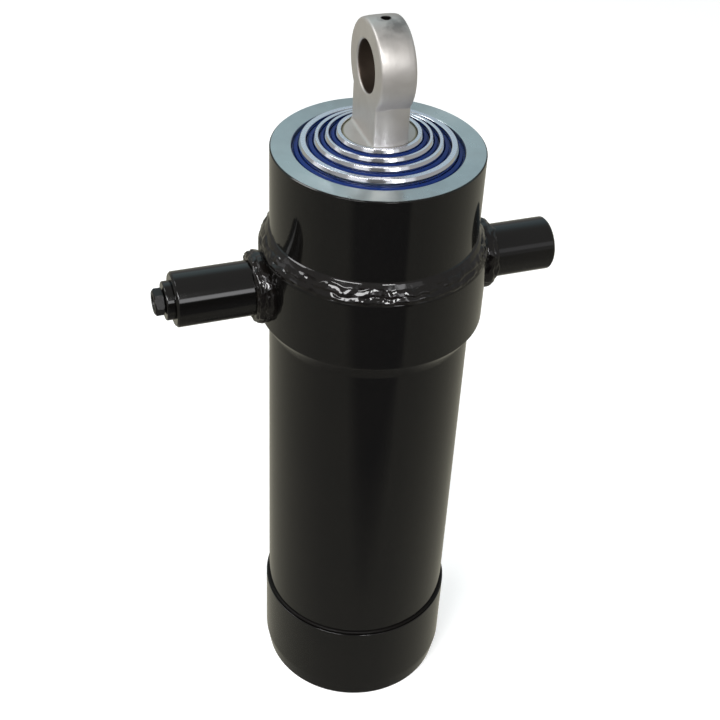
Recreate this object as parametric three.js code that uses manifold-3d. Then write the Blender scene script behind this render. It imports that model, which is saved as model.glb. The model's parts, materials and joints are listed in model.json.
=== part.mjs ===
// Single-acting telescopic hydraulic cylinder, closed: a barrel with a trunnion ring, three stages
// and a plunger with a lifting eye. Millimetres, +Z up the cylinder's axis, origin at the centre of
// the base's bottom face. The trunnion axis is X: the port pin points to -X, the plain pin to +X.

import * as THREE from "three";
import { mergeVertices } from "three/addons/utils/BufferGeometryUtils.js";
import Module from "manifold-3d";

const wasm = await Module();
wasm.setup();

// ---- driving dimensions ----

const GAP = 0.3; // between pieces that touch on the real cylinder
const RUNNING_GAP = 0.4; // between a sliding or turning face and its ring
const TURN_SEGMENTS = 32; // round the main axis, the same on every concentric piece
const PIN_SEGMENTS = 24; // round the trunnion axis
const EYE_SEGMENTS = 40; // round the eye bore
const MERGE_DISTANCE = 1e-4; // under which two corners are one

const BARREL_RADIUS = 75;
const BARREL_BORE = 65;
const HEAD_FACE_Z = 496;
const HEAD_MOUTH = 60;
const HEAD_CHAMFER = 2;
const HEAD_SEAM_Z = 418;

const BASE_FOOT_RADIUS = 74.6;
const BASE_RADIUS = 77.4;
const BASE_CHAMFER_Z = 16;
const BASE_TOP_Z = 79;
const BASE_FLOOR_Z = 22;
const BASE_WELD_HEIGHT = 2.4; // of the butt weld between the base cup and the tube
const BASE_WELD_ROOT = 67;
const BASE_WELD_CROWN = 78.4;
const BASE_WELD_TOE = 77;
const TUBE_LOW_Z = BASE_TOP_Z + BASE_WELD_HEIGHT + 2 * GAP;

const TRUNNION_Z = 395;
const TRUNNION_RADIUS = 83;
const TRUNNION_TOP_Z = 421;
const TRUNNION_BEVEL_Z = 365.5;
const TRUNNION_TOE_Z = 351.5;
const TOP_WELD_Z = 433.5;
const TOP_WELD_EDGE = 2; // height of the weld at the ring's rim
const PIN_RADIUS = 20;
const PORT_PIN_END = 148.6;
const PLAIN_PIN_END = 139.6;
const PIN_CHAMFER = 1.5;
const PIN_WELD_RADIUS = 27;
const PIN_WELD_SHOULDER = 86.5;
const PIN_WELD_TOE = 92.6;
const PIN_WELD_EDGE = 1.5; // thickness of the weld where it ends on the pin
const OIL_WAY_RADIUS = 5;
const PORT_SEAT_RADIUS = 9;
const PORT_SEAT_DEPTH = 18;
const ADAPTER_RADIUS = 14;
const ADAPTER_END = 154.6;
const ADAPTER_CHAMFER = 1;
const PLUG_SHANK_LENGTH = 12;
const PLUG_RADIUS = 9.8; // across the corners of its hexagon
const PLUG_END = 162;
const HEX_SIDES = 6;

// Each sliding tube: outside radius, bore, and the height of its top face when closed.
const STAGES = [
  { name: "stage_1", outer: 55, bore: 50, top: 500.3 },
  { name: "stage_2", outer: 45, bore: 41.5, top: 503.3 },
  { name: "stage_3", outer: 37.5, bore: 34.5, top: 506 },
];
const PLUNGER = { name: "plunger", outer: 30, bore: 26, top: 508.5 };
const STROKE = 345; // of every stage
const NOSE_HEIGHT = 2.2; // of the lead-in chamfer on a tube's top
const NOSE_WIDTH = 1.1;

// The foot of every sliding tube: a split guide ring, and above it the stop ring.
const FOOT_Z = BASE_FLOOR_Z + GAP;
const FOOT_GROOVE_Z = [28, 56];
const FOOT_RING_SPLIT_Z = 44;
const FOOT_GROOVE_SHARE = 0.4; // of the tube's wall
const STOP_RING_CLEARANCE = 0.8;
const RING_SLIT = 2;
const SHOULDER_Z = FOOT_GROOVE_Z[1] + STROKE; // what every stop ring meets at the end of its stroke

// A gland, measured down from the face it opens on.
const WIPER_DEPTH = 12;
const WIPER_RECESS = 2;
const WIPER_LIP_RECESS = 0.6;
const WIPER_LIP_WIDTH = 1.6;
const SEAL_DEPTHS = [20, 30];
const GUIDE_DEPTHS = [42, 62];
const GUIDE_GROOVE_SHARE = 0.6; // of the mouth's width beyond the land
const MOUTH_CHAMFER = 1;

const PLUNGER_PLUG_Z = [24, 36];

const EYE_Z = 556;
const EYE_RADIUS = 32.3;
const EYE_HALF_WIDTH = 12.5;
const EYE_BORE = 17.5;
const EYE_BORE_CHAMFER = 1.5;
// The crowned rim, from a face to the middle: radius, and distance from the middle of the eye.
const EYE_CROWN = [
  [30, EYE_HALF_WIDTH],
  [31.4, 11.1],
  [EYE_RADIUS, 5],
];
const EYE_SHANK_RADIUS = PLUNGER.bore - GAP;
const EYE_SHANK_Z = 450;
const EYE_SEAT_Z = 507.5;
const EYE_FLAT_HALF_WIDTH = 12.4;
const EYE_FILLET = 2.5;
const EYE_FILLET_STEPS = 4;
const GREASE_HOLE_RADIUS = 3.2;
const GREASE_HOLE_SEGMENTS = 12;

// ---- materials ----

const paint = { color: 0x191817, roughness: 0.3, metalness: 0.0 };
const weldPaint = { color: 0x1c1b1a, roughness: 0.35, metalness: 0.0 };
const chrome = { color: 0xc3c9cd, roughness: 0.08, metalness: 1.0 };
const castSteel = { color: 0x9a948d, roughness: 0.4, metalness: 0.9 };
const blueSeal = { color: 0x1a2f84, roughness: 0.35, metalness: 0.0 };
const sealRubber = { color: 0x1b1b1c, roughness: 0.6, metalness: 0.0 };
const guideResin = { color: 0x6b4a2a, roughness: 0.5, metalness: 0.0 };
const bronze = { color: 0xa9824a, roughness: 0.35, metalness: 1.0 };
const plugPlastic = { color: 0x151515, roughness: 0.35, metalness: 0.0 };

// ---- helpers ----

const cylinder = new THREE.Group();

function addPiece(name, geometry, finish) {
  const piece = new THREE.Mesh(geometry, new THREE.MeshStandardMaterial(finish));
  piece.name = name;
  cylinder.add(piece);
}

// A turned body about +Y: the outline is [radius, height] points, up the outside and down the inside.
function turn(outline, segments) {
  const points = outline.map(([radius, height]) => new THREE.Vector2(radius, height));
  points.push(points[0].clone());
  return new THREE.LatheGeometry(points, segments);
}

function turnAlongZ(outline, segments = TURN_SEGMENTS) {
  return turn(outline, segments).rotateX(Math.PI / 2);
}

function turnAlongX(outline, segments = PIN_SEGMENTS) {
  return turn(outline, segments).rotateZ(-Math.PI / 2);
}

function ring(inner, outer, low, high) {
  return turnAlongZ([
    [inner, low],
    [outer, low],
    [outer, high],
    [inner, high],
  ]);
}

function disc(radius, low, high) {
  return [
    [0, low],
    [radius, low],
    [radius, high],
    [0, high],
  ];
}

function toSolid(geometry) {
  const bare = geometry.clone();
  bare.deleteAttribute("normal");
  bare.deleteAttribute("uv");
  const merged = mergeVertices(bare, MERGE_DISTANCE);
  return new wasm.Manifold(
    new wasm.Mesh({
      numProp: 3,
      vertProperties: merged.attributes.position.array,
      triVerts: new Uint32Array(merged.index.array),
    }),
  );
}

function toGeometry(solid) {
  const mesh = solid.getMesh();
  const geometry = new THREE.BufferGeometry();
  geometry.setAttribute("position", new THREE.BufferAttribute(mesh.vertProperties, 3));
  geometry.setIndex(new THREE.BufferAttribute(mesh.triVerts, 1));
  return geometry;
}

function cut(body, cutter) {
  return toGeometry(toSolid(body).subtract(toSolid(cutter)));
}

// A geometry made about +X, turned half round to lie along -X.
function towardsPort(geometry) {
  return geometry.rotateZ(Math.PI);
}

function atTrunnion(geometry) {
  return geometry.translate(0, 0, TRUNNION_Z);
}

// A ring with a narrow slit, so that it can be sprung into its groove.
function splitRing(inner, outer, low, high) {
  const slit = new THREE.BoxGeometry(outer, RING_SLIT, high - low + 2 * GAP);
  slit.translate(outer, 0, (low + high) / 2);
  return cut(ring(inner, outer, low, high), slit);
}

// ---- the gland that every stage slides through ----

function landRadius(slider) {
  return slider.outer + RUNNING_GAP + GAP;
}

function guideGrooveRadius(slider, mouth) {
  const land = landRadius(slider);
  return land + GUIDE_GROOVE_SHARE * (mouth - land);
}

// The inside outline of a gland, from its face down to the shoulder that the stop ring meets.
function glandOutline(slider, mouth, face) {
  const land = landRadius(slider);
  const guideGroove = guideGrooveRadius(slider, mouth);
  return [
    [mouth + MOUTH_CHAMFER, face],
    [mouth, face - MOUTH_CHAMFER],
    [mouth, face - WIPER_DEPTH],
    [land, face - WIPER_DEPTH],
    [land, face - SEAL_DEPTHS[0]],
    [mouth, face - SEAL_DEPTHS[0]],
    [mouth, face - SEAL_DEPTHS[1]],
    [land, face - SEAL_DEPTHS[1]],
    [land, face - GUIDE_DEPTHS[0]],
    [guideGroove, face - GUIDE_DEPTHS[0]],
    [guideGroove, face - GUIDE_DEPTHS[1]],
    [land, face - GUIDE_DEPTHS[1]],
    [land, SHOULDER_Z],
  ];
}

// The wiper, rod seal and guide band that a gland holds round its slider.
function addGlandRings(prefix, slider, mouth, face) {
  const inner = slider.outer + RUNNING_GAP;
  const outer = mouth - GAP;
  const wiper = turnAlongZ([
    [inner, face - WIPER_DEPTH + GAP],
    [outer, face - WIPER_DEPTH + GAP],
    [outer, face - WIPER_RECESS],
    [inner + WIPER_LIP_WIDTH, face - WIPER_LIP_RECESS],
    [inner, face - WIPER_LIP_RECESS],
  ]);
  addPiece(prefix + "_wiper", wiper, blueSeal);

  const seal = ring(inner, outer, face - SEAL_DEPTHS[1] + GAP, face - SEAL_DEPTHS[0] - GAP);
  addPiece(prefix + "_rod_seal", seal, sealRubber);

  const guideOuter = guideGrooveRadius(slider, mouth) - GAP;
  const guideLow = face - GUIDE_DEPTHS[1] + GAP;
  const guide = splitRing(inner, guideOuter, guideLow, face - GUIDE_DEPTHS[0] - GAP);
  addPiece(prefix + "_guide_band", guide, guideResin);
}

// ---- the foot that keeps every slider in its parent's bore ----

function footGrooveRadius(slider) {
  return slider.outer - FOOT_GROOVE_SHARE * (slider.outer - slider.bore);
}

function footOutline(slider) {
  const [low, high] = FOOT_GROOVE_Z;
  const groove = footGrooveRadius(slider);
  return [
    [slider.bore, FOOT_Z],
    [slider.outer, FOOT_Z],
    [slider.outer, low],
    [groove, low],
    [groove, high],
    [slider.outer, high],
  ];
}

function addFootRings(slider, parentBore) {
  const [low, high] = FOOT_GROOVE_Z;
  const inner = footGrooveRadius(slider) + RUNNING_GAP;
  const guide = splitRing(inner, parentBore - GAP, low + GAP, FOOT_RING_SPLIT_Z);
  addPiece(slider.name + "_foot_guide", guide, bronze);

  const stopOuter = parentBore - STOP_RING_CLEARANCE;
  const stop = splitRing(inner, stopOuter, FOOT_RING_SPLIT_Z + GAP, high - GAP);
  addPiece(slider.name + "_stop_ring", stop, castSteel);
}

// ---- barrel ----

function addBaseCup() {
  const cup = turnAlongZ([
    [0, 0],
    [BASE_FOOT_RADIUS, 0],
    [BASE_RADIUS, BASE_CHAMFER_Z],
    [BASE_RADIUS, BASE_TOP_Z],
    [BARREL_BORE, BASE_TOP_Z],
    [BARREL_BORE, BASE_FLOOR_Z],
    [0, BASE_FLOOR_Z],
  ]);
  addPiece("base_cup", cup, paint);

  const low = BASE_TOP_Z + GAP;
  const weld = turnAlongZ([
    [BASE_WELD_ROOT, low],
    [BASE_WELD_TOE, low],
    [BASE_WELD_CROWN, low + BASE_WELD_HEIGHT / 2],
    [BASE_WELD_TOE, low + BASE_WELD_HEIGHT],
    [BASE_WELD_ROOT, low + BASE_WELD_HEIGHT],
  ]);
  addPiece("base_weld", weld, weldPaint);
}

function addBarrelTube() {
  const tube = ring(BARREL_BORE, BARREL_RADIUS, TUBE_LOW_Z, HEAD_SEAM_Z);
  const oilWay = turnAlongX(disc(OIL_WAY_RADIUS, STAGES[0].outer, TRUNNION_RADIUS));
  addPiece("barrel_tube", cut(tube, atTrunnion(towardsPort(oilWay))), paint);
}

function addHead() {
  const spigot = BARREL_BORE - GAP;
  const head = turnAlongZ([
    [spigot, SHOULDER_Z],
    [spigot, HEAD_SEAM_Z + GAP],
    [BARREL_RADIUS, HEAD_SEAM_Z + GAP],
    [BARREL_RADIUS, HEAD_FACE_Z - HEAD_CHAMFER],
    [BARREL_RADIUS - HEAD_CHAMFER, HEAD_FACE_Z],
    ...glandOutline(STAGES[0], HEAD_MOUTH, HEAD_FACE_Z),
  ]);
  addPiece("head_housing", head, paint);
  addGlandRings("head", STAGES[0], HEAD_MOUTH, HEAD_FACE_Z);
}

// ---- trunnion ring, its pins and welds ----

function pinSeat() {
  const length = 2 * TRUNNION_RADIUS;
  return atTrunnion(turnAlongX(disc(PIN_RADIUS + GAP, -length, length)));
}

function addTrunnionRing() {
  const inner = BARREL_RADIUS + GAP;
  const band = turnAlongZ([
    [inner, TRUNNION_TOE_Z],
    [TRUNNION_RADIUS, TRUNNION_BEVEL_Z],
    [TRUNNION_RADIUS, TRUNNION_TOP_Z],
    [inner, TRUNNION_TOP_Z],
  ]);
  addPiece("trunnion_ring", cut(band, pinSeat()), paint);

  const weldLow = TRUNNION_TOP_Z + GAP;
  const weld = turnAlongZ([
    [inner, weldLow],
    [TRUNNION_RADIUS - GAP, weldLow],
    [TRUNNION_RADIUS - GAP, weldLow + TOP_WELD_EDGE],
    [inner, TOP_WELD_Z],
  ]);
  addPiece("trunnion_top_weld", weld, weldPaint);
}

// What a pin or its weld is scribed to: a turned post standing well above and below the pin.
function scribe(radius) {
  return turnAlongZ(disc(radius, TRUNNION_Z - 2 * PIN_WELD_RADIUS, TRUNNION_Z + 2 * PIN_WELD_RADIUS));
}

function addPlainPin() {
  const pin = turnAlongX([
    [0, BARREL_BORE],
    [PIN_RADIUS, BARREL_BORE],
    [PIN_RADIUS, PLAIN_PIN_END - PIN_CHAMFER],
    [PIN_RADIUS - PIN_CHAMFER, PLAIN_PIN_END],
    [0, PLAIN_PIN_END],
  ]);
  addPiece("trunnion_pin_plain", cut(atTrunnion(pin), scribe(BARREL_RADIUS + GAP)), paint);
}

function addPortPin() {
  const seatBottom = PORT_PIN_END - PORT_SEAT_DEPTH;
  const pin = turnAlongX([
    [OIL_WAY_RADIUS, BARREL_BORE],
    [PIN_RADIUS, BARREL_BORE],
    [PIN_RADIUS, PORT_PIN_END - PIN_CHAMFER],
    [PIN_RADIUS - PIN_CHAMFER, PORT_PIN_END],
    [PORT_SEAT_RADIUS + GAP, PORT_PIN_END],
    [PORT_SEAT_RADIUS + GAP, seatBottom],
    [OIL_WAY_RADIUS, seatBottom],
  ]);
  const placed = atTrunnion(towardsPort(pin));
  addPiece("trunnion_pin_port", cut(placed, scribe(BARREL_RADIUS + GAP)), paint);
}

function pinWeld() {
  const inner = PIN_RADIUS + GAP;
  return turnAlongX([
    [inner, BARREL_BORE],
    [PIN_WELD_RADIUS, BARREL_BORE],
    [PIN_WELD_RADIUS, PIN_WELD_SHOULDER],
    [PIN_RADIUS + PIN_WELD_EDGE, PIN_WELD_TOE],
    [inner, PIN_WELD_TOE],
  ]);
}

function addPinWelds() {
  const ringFace = scribe(TRUNNION_RADIUS + GAP);
  addPiece("pin_weld_plain", cut(atTrunnion(pinWeld()), ringFace), weldPaint);
  addPiece("pin_weld_port", cut(atTrunnion(towardsPort(pinWeld())), ringFace), weldPaint);
}

function addPortFittings() {
  const adapterBore = OIL_WAY_RADIUS + GAP;
  const adapterLow = PORT_PIN_END - PORT_SEAT_DEPTH + GAP;
  const flangeLow = PORT_PIN_END + GAP;
  const adapter = turnAlongX([
    [adapterBore, adapterLow],
    [PORT_SEAT_RADIUS, adapterLow],
    [PORT_SEAT_RADIUS, flangeLow],
    [ADAPTER_RADIUS, flangeLow],
    [ADAPTER_RADIUS, ADAPTER_END - ADAPTER_CHAMFER],
    [ADAPTER_RADIUS - ADAPTER_CHAMFER, ADAPTER_END],
    [adapterBore, ADAPTER_END],
  ]);
  addPiece("port_adapter", atTrunnion(towardsPort(adapter)), paint);

  const headLow = ADAPTER_END + GAP;
  const headMiddle = (headLow + PLUG_END) / 2;
  const shank = turnAlongX(disc(OIL_WAY_RADIUS, ADAPTER_END - PLUG_SHANK_LENGTH, headMiddle));
  const hexHead = turnAlongX(disc(PLUG_RADIUS, headLow, PLUG_END), HEX_SIDES);
  const plug = toGeometry(toSolid(shank).add(toSolid(hexHead)));
  addPiece("port_plug", atTrunnion(towardsPort(plug)), plugPlastic);
}

// ---- sliding tubes ----

function addStage(stage, slider, parentBore) {
  const tube = turnAlongZ([
    ...footOutline(stage),
    [stage.outer, stage.top - NOSE_HEIGHT],
    [stage.outer - NOSE_WIDTH, stage.top],
    ...glandOutline(slider, stage.bore, stage.top),
    [stage.bore, SHOULDER_Z],
  ]);
  addPiece(stage.name + "_tube", tube, chrome);
  addGlandRings(stage.name, slider, stage.bore, stage.top);
  addFootRings(stage, parentBore);
}

function addPlunger(parentBore) {
  const { outer, bore, top } = PLUNGER;
  const tube = turnAlongZ([
    ...footOutline(PLUNGER),
    [outer, top - NOSE_HEIGHT],
    [outer - NOSE_WIDTH, top],
    [bore + MOUTH_CHAMFER, top],
    [bore, top - MOUTH_CHAMFER],
  ]);
  addPiece("plunger_tube", tube, chrome);
  addPiece("plunger_foot_plug", turnAlongZ(disc(bore - GAP, ...PLUNGER_PLUG_Z)), castSteel);
  addFootRings(PLUNGER, parentBore);
}

// ---- rod eye ----

// Cuts one flat on the eye's neck at +X, rounded out into the seat below.
function flatCutter() {
  const reach = 2 * EYE_SHANK_RADIUS;
  const outline = new THREE.Shape();
  outline.moveTo(reach, EYE_SEAT_Z);
  outline.lineTo(reach, EYE_Z);
  outline.lineTo(EYE_FLAT_HALF_WIDTH, EYE_Z);
  for (let step = 0; step <= EYE_FILLET_STEPS; step += 1) {
    const angle = ((step / EYE_FILLET_STEPS) * Math.PI) / 2;
    const across = EYE_FLAT_HALF_WIDTH + EYE_FILLET * (1 - Math.cos(angle));
    outline.lineTo(across, EYE_SEAT_Z + EYE_FILLET * (1 - Math.sin(angle)));
  }
  const cutter = new THREE.ExtrudeGeometry(outline, { depth: 2 * reach, bevelEnabled: false });
  return cutter.translate(0, 0, -reach).rotateX(Math.PI / 2);
}

function eyeRing() {
  const outline = [
    [0, -EYE_HALF_WIDTH],
    ...EYE_CROWN.map(([radius, across]) => [radius, -across]),
    ...EYE_CROWN.toReversed(),
    [0, EYE_HALF_WIDTH],
  ];
  return turnAlongX(outline, EYE_SEGMENTS).translate(0, 0, EYE_Z);
}

// The bore's cutter runs past both faces, where its mouths go on widening at the chamfer's slope.
function eyeBore() {
  const beyond = EYE_BORE_CHAMFER;
  const reach = EYE_HALF_WIDTH + beyond;
  const mouth = EYE_BORE + EYE_BORE_CHAMFER + beyond;
  const inside = EYE_HALF_WIDTH - EYE_BORE_CHAMFER;
  const outline = [
    [0, -reach],
    [mouth, -reach],
    [EYE_BORE, -inside],
    [EYE_BORE, inside],
    [mouth, reach],
    [0, reach],
  ];
  return turnAlongX(outline, EYE_SEGMENTS).translate(0, 0, EYE_Z);
}

function addRodEye() {
  const shank = toSolid(turnAlongZ(disc(EYE_SHANK_RADIUS, EYE_SHANK_Z, EYE_Z)));
  const flat = toSolid(flatCutter());
  const neck = shank.subtract(flat).subtract(flat.rotate([0, 0, 180]));
  const greaseHole = disc(GREASE_HOLE_RADIUS, EYE_Z, EYE_Z + 2 * EYE_RADIUS);
  const holeCutter = toSolid(turnAlongZ(greaseHole, GREASE_HOLE_SEGMENTS));
  const eye = neck.add(toSolid(eyeRing())).subtract(toSolid(eyeBore())).subtract(holeCutter);
  addPiece("rod_eye", toGeometry(eye), castSteel);
}

// ---- assembly ----

addBaseCup();
addBarrelTube();
addHead();
addTrunnionRing();
addPlainPin();
addPortPin();
addPinWelds();
addPortFittings();

const sliders = [...STAGES, PLUNGER];
STAGES.forEach((stage, index) => {
  const parentBore = index === 0 ? BARREL_BORE : STAGES[index - 1].bore;
  addStage(stage, sliders[index + 1], parentBore);
});
addPlunger(STAGES.at(-1).bore);
addRodEye();

export default cylinder;
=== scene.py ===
"""The looks of a telescopic hydraulic cylinder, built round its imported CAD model.

Lengths in this script are in millimetres until a mesh is made. The cylinder's axis is Z, the
trunnion pins lie along X, and the port pin points to -X.
"""

import json
import math

import bpy
from mathutils import Matrix, Vector, noise

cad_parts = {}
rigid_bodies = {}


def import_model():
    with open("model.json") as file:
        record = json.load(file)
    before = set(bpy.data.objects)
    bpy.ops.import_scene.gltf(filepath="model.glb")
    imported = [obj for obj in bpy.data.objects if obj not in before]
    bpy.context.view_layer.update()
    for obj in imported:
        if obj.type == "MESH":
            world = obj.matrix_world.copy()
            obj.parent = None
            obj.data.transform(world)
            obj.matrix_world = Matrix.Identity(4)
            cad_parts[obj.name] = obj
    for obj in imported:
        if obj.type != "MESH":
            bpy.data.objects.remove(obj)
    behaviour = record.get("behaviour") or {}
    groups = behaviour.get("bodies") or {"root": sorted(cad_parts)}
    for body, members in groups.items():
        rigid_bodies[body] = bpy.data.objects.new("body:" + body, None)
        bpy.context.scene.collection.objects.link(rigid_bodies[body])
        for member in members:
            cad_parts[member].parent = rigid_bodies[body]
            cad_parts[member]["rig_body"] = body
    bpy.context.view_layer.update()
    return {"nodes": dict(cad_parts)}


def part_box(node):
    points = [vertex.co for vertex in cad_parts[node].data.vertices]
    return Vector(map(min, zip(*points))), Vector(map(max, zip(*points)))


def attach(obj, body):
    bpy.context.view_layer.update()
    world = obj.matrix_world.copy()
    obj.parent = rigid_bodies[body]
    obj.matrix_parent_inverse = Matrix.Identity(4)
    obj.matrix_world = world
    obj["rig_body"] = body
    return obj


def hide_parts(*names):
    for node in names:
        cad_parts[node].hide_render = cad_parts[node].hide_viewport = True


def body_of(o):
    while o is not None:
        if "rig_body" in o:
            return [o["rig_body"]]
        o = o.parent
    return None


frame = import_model()

MM = 0.001
BODY_SEGMENTS = 224
PIN_SEGMENTS = 128
PLUG_SEGMENTS = 132  # a multiple of 6, so that the hexagon's corners are sharp
WELD_SEGMENTS = 900
PIN_WELD_SEGMENTS = 360
ROUND_STEPS = 5  # points along a rounded corner
HOLD = 0.25  # from a rounded corner to the point that keeps the face beside it flat
GAP = 0.3  # that the CAD leaves between pieces which touch
SEAM = 0.1  # that is left of it between two visible pieces screwed face to face
SHARP_ANGLE = math.radians(32)
WELD_SHARP_ANGLE = math.radians(80)
NOSE_HEIGHT = 2.2  # of the lead-in chamfer on a tube's top
NOSE_WIDTH = 1.1
PIN_CHAMFER = 1.5
OIL_WAY_RADIUS = 5.0
ADAPTER_SEAT_RADIUS = 9.0  # of the adapter's narrow part, inside the port pin
PLUG_SHANK_LENGTH = 12.0
SLIDERS = {  # the tube that slides through each gland
    "head": "stage_1_tube",
    "stage_1": "stage_2_tube",
    "stage_2": "stage_3_tube",
    "stage_3": "plunger_tube",
}

EYE_RADIUS = 32.3
EYE_HALF_WIDTH = 12.5
EYE_BORE = 17.5
EYE_BORE_CHAMFER = 1.3
# Points from the flat side of the eye's ring over its worn edge, each (radius, half-width).
EYE_CROWN = [(29.6, 12.5), (30.8, 12.1), (31.6, 11.2), (31.9, 10.0), (32.2, 7.0), (32.3, 3.5)]
EYE_SEGMENTS = 192
SHANK_RADIUS = 25.7
SEAT_Z = 507.5
FLAT_HALF_WIDTH = 12.45
EYE_FILLET = 2.5
NECK_ROUNDING = 1.5
NECK_STEPS = 48
GREASE_HOLE_RADIUS = 3.0
EYE_VOXEL = 0.36  # the grid that the casting is rebuilt on, which melts its parts together
EYE_SMOOTHING_PASSES = 3


# ---- places taken from the CAD ----

def span(node):
    """The lowest and highest corner of a CAD node, in millimetres."""
    low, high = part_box(node)
    return low / MM, high / MM


def height(node):
    """The lowest and highest point of a CAD node."""
    low, high = span(node)
    return low.z, high.z


def radius(node):
    """The outside radius of a CAD node that is turned about the cylinder's axis."""
    return span(node)[1].y


BARREL_RADIUS = radius("barrel_tube")
BARREL_BORE = radius("stage_1_foot_guide") + GAP
RING_RADIUS = radius("trunnion_ring")
PIN_RADIUS = (span("trunnion_pin_plain")[1].y - span("trunnion_pin_plain")[0].y) / 2
PIN_AXIS_Z = sum(height("trunnion_pin_plain")) / 2
EYE_TOP = height("rod_eye")[1]


# ---- shapes ----

def rounded(corners):
    """The points of a closed outline of (radius, height, rounding) corners."""
    points = []
    for index, (across, along, rounding) in enumerate(corners):
        corner = Vector((across, along))
        if rounding == 0:
            points.append(corner)
            continue
        before = Vector(corners[index - 1][:2]) - corner
        after = Vector(corners[(index + 1) % len(corners)][:2]) - corner
        half = before.angle(after) / 2
        reach = rounding / math.tan(half)
        middle = (before.normalized() + after.normalized()).normalized()
        centre = corner + middle * rounding / math.sin(half)
        start = corner + before.normalized() * reach
        end = corner + after.normalized() * reach
        turn = (end - centre).angle_signed(start - centre)
        if before.length > reach + 2 * HOLD:
            points.append(start + before.normalized() * HOLD)
        for step in range(ROUND_STEPS + 1):
            spoke = start - centre
            spoke.rotate(Matrix.Rotation(turn * step / ROUND_STEPS, 2))
            points.append(centre + spoke)
        if after.length > reach + 2 * HOLD:
            points.append(end + after.normalized() * HOLD)
    return [tuple(point) for point in points]


def about_z(across, along, angle):
    """A place on the cylinder's own axis."""
    return (across * math.cos(angle), across * math.sin(angle), along)


def about_pin(across, along, angle):
    """A place on the plain side's pin axis, which points to +X."""
    return (along, across * math.cos(angle), PIN_AXIS_Z + across * math.sin(angle))


def about_port_pin(across, along, angle):
    """A place on the port side's pin axis, which points to -X."""
    return (-along, across * math.cos(angle), PIN_AXIS_Z - across * math.sin(angle))


def mesh_object(name, vertices, faces, sharp_angle):
    """A smooth-shaded object from vertices in millimetres."""
    mesh = bpy.data.meshes.new(name)
    mesh.from_pydata([[value * MM for value in vertex] for vertex in vertices], [], faces)
    mesh.polygons.foreach_set("use_smooth", [True] * len(mesh.polygons))
    mesh.set_sharp_from_angle(angle=sharp_angle)
    made = bpy.data.objects.new(name, mesh)
    bpy.context.scene.collection.objects.link(made)
    return made


def turned(name, outline, place=about_z, segments=BODY_SEGMENTS, shape=None, sharp_angle=SHARP_ANGLE):
    """A closed turned body. The outline goes up the outside and down the inside.

    shape(index, across, along, angle) may move a point of the outline at each angle.
    """
    vertices = []
    rings = []
    for index, (across, along) in enumerate(outline):
        if across == 0:
            rings.append([len(vertices)] * segments)
            vertices.append(place(0, along, 0))
            continue
        rings.append(list(range(len(vertices), len(vertices) + segments)))
        for step in range(segments):
            angle = 2 * math.pi * step / segments
            point = shape(index, across, along, angle) if shape else (across, along)
            vertices.append(place(*point, angle))
    faces = []
    for index, ring in enumerate(rings):
        following = rings[(index + 1) % len(rings)]
        for step in range(segments):
            other = (step + 1) % segments
            corners = dict.fromkeys([ring[step], ring[other], following[other], following[step]])
            if len(corners) > 2:
                faces.append(list(corners))
    return mesh_object(name, vertices, faces, sharp_angle)


# ---- material nodes ----

def add_node(tree, kind, settings=None, **inputs):
    """A node whose inputs are set to values or joined to other nodes' outputs."""
    made = tree.nodes.new("ShaderNode" + kind)
    for key, value in (settings or {}).items():
        setattr(made, key, value)
    for key, value in inputs.items():
        socket = made.inputs[int(key[1:])] if key[0] == "i" and key[1:].isdigit() else made.inputs[key]
        if isinstance(value, bpy.types.NodeSocket):
            tree.links.new(value, socket)
        else:
            socket.default_value = value
    return made


def new_material(name, metallic=0.0, **values):
    """A material, its node tree and its main shader, with plain values on the shader's sockets."""
    material = bpy.data.materials.new(name)
    material.use_nodes = True
    tree = material.node_tree
    shader = tree.nodes["Principled BSDF"]
    shader.inputs["Metallic"].default_value = metallic
    for key, value in values.items():
        shader.inputs[key.replace("_", " ")].default_value = value
    return material, tree, shader


def own_point(tree, scale=(1, 1, 1)):
    """The place on the piece, in its own frame, stretched by scale."""
    place = add_node(tree, "TexCoord").outputs["Object"]
    return add_node(tree, "Mapping", Vector=place, Scale=scale).outputs["Vector"]


def mottle(tree, per_metre, detail=3.0, stretch=(1, 1, 1)):
    """Smooth noise from about 0.3 to 0.7, with that many lumps to the metre."""
    made = add_node(tree, "TexNoise", Vector=own_point(tree, stretch), Scale=per_metre, Detail=detail)
    return made.outputs["Fac"]


def between(tree, factor, low, high, start=0.3, stop=0.7):
    """A number from low to high as the factor goes from start to stop."""
    made = add_node(tree, "MapRange", Value=factor)
    made.inputs["From Min"].default_value = start
    made.inputs["From Max"].default_value = stop
    made.inputs["To Min"].default_value = low
    made.inputs["To Max"].default_value = high
    return made.outputs["Result"]


def blend(tree, factor, first, second):
    """A colour that goes from the first to the second as the factor goes from 0 to 1."""
    made = add_node(tree, "Mix", {"data_type": "RGBA"}, i0=factor)
    for index, value in ((6, first), (7, second)):
        if isinstance(value, bpy.types.NodeSocket):
            tree.links.new(value, made.inputs[index])
        else:
            made.inputs[index].default_value = (*value, 1)
    return made.outputs[2]


def vector_maths(tree, operation, *vectors):
    """A node that works on vectors or on other nodes' outputs."""
    inputs = {"i%d" % index: vector for index, vector in enumerate(vectors)}
    return add_node(tree, "VectorMath", {"operation": operation}, **inputs)


def calculate(tree, operation, *values):
    """The result of one sum on numbers or other nodes' outputs."""
    made = add_node(tree, "Math", {"operation": operation})
    for index, value in enumerate(values):
        if isinstance(value, bpy.types.NodeSocket):
            tree.links.new(value, made.inputs[index])
        else:
            made.inputs[index].default_value = value
    return made.outputs["Value"]


def bumped(tree, shader, *layers):
    """Joins bump layers, each (height, millimetres), one on top of the other."""
    normal = None
    for level, depth in layers:
        made = add_node(tree, "Bump", Height=level, Distance=depth * MM)
        if normal:
            tree.links.new(normal, made.inputs["Normal"])
        normal = made.outputs["Normal"]
    tree.links.new(normal, shader.inputs["Normal"])


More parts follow.
